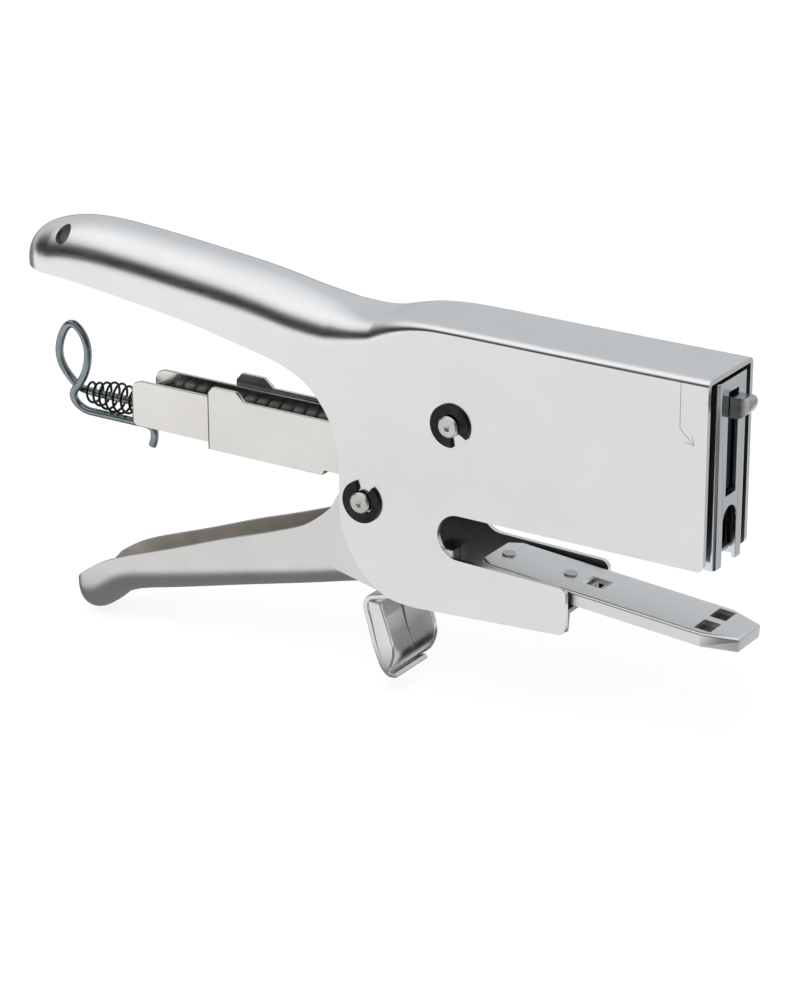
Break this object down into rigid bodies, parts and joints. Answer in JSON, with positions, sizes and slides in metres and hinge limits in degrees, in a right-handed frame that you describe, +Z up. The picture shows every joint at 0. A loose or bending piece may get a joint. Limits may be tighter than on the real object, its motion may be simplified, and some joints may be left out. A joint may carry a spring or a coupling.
{
  "type": "plier stapler",
  "caption": "Hand-squeezed plier stapler with a pressed-steel body, a hinged lower handle, a rocking staple magazine, a sliding driver and a fixed anvil bar.",
  "frame": {"origin": "middle of the object's bounding box at rest, handles open", "axes": "+X forward to the tip of the anvil bar, +Y to the far side plate (the side with the pin heads), +Z up"},
  "size_m": [0.1913, 0.0232, 0.0977],
  "materials": {
    "body_nickel": "bright nickel plating on pressed steel, smooth, soft reflections",
    "lever_nickel": "bright nickel plating, satin inside the trough",
    "guard_nickel": "bright nickel plating",
    "magazine_nickel": "bright nickel plating, drawn sheet",
    "anvil_steel": "bright plated steel bar",
    "zinc_steel": "zinc plated steel",
    "pin_steel": "turned steel",
    "nose_steel": "hardened steel, ground",
    "black_oxide": "black oxide spring steel",
    "spring_steel": "oil-tempered spring steel",
    "wire_zinc": "blue-grey zinc plated wire"
  },
  "bodies": {
    "body": {"body_shell": "body_nickel", "anvil_bar": "anvil_steel", "anvil_support": "zinc_steel", "anvil_rivets": "pin_steel", "clinch_plate": "zinc_steel", "finger_guard": "guard_nickel", "lever_pin": "pin_steel", "spring_pin": "pin_steel", "lever_pin_clip": "black_oxide", "spring_pin_clip": "black_oxide", "pivot_bush": "pin_steel", "spring_spacer": "pin_steel", "return_spring": "spring_steel"},
    "lever": {"lower_handle": "lever_nickel", "drive_nose": "nose_steel", "nose_rivet": "pin_steel"},
    "magazine": {"magazine_channel": "magazine_nickel", "front_guide": "magazine_nickel", "staple_rail": "zinc_steel"},
    "driver": {"driver_blade": "spring_steel"},
    "cartridge": {"inner_channel": "magazine_nickel", "end_block": "zinc_steel", "pusher_rod": "pin_steel", "pusher_spring": "black_oxide", "barrel_spring": "black_oxide"},
    "latch": {"wire_handle": "wire_zinc"},
    "pusher": {"staple_pusher": "zinc_steel"}
  },
  "joints": [
    {"name": "lever_hinge", "type": "hinge", "parent": "body", "child": "lever", "pos_m": [0.00374, 0, -0.00185], "axis": [0, 1, 0], "range_deg": [0, 20], "stiffness_Nm_per_rad": 0.6, "springref_deg": -17.19, "deforming": ["return_spring"]},
    {"name": "magazine_rock", "type": "hinge", "parent": "body", "child": "magazine", "pos_m": [0.00374, 0, -0.00185], "axis": [0, 1, 0], "range_deg": [0, 8.5]},
    {"name": "driver_stroke", "type": "slide", "parent": "magazine", "child": "driver", "axis": [0, 0, -1], "range_m": [0, 0.0164]},
    {"name": "cartridge_pull", "type": "slide", "parent": "magazine", "child": "cartridge", "axis": [-1, 0, 0], "range_m": [0, 0.065]},
    {"name": "latch_pull", "type": "slide", "parent": "cartridge", "child": "latch", "axis": [-1, 0, 0], "range_m": [0, 0.0035], "stiffness_N_per_m": 400, "springref_m": -0.002, "deforming": ["barrel_spring"]},
    {"name": "pusher_slide", "type": "slide", "parent": "cartridge", "child": "pusher", "axis": [-1, 0, 0], "range_m": [0, 0.07], "stiffness_N_per_m": 20, "springref_m": -0.02, "deforming": ["pusher_spring"]}
  ],
  "couplings": [
    {"joint": "magazine_rock", "follows": "lever_hinge", "ratio": 0.425},
    {"joint": "driver_stroke", "follows": "lever_hinge", "m_per_rad": 0.0469}
  ]
}
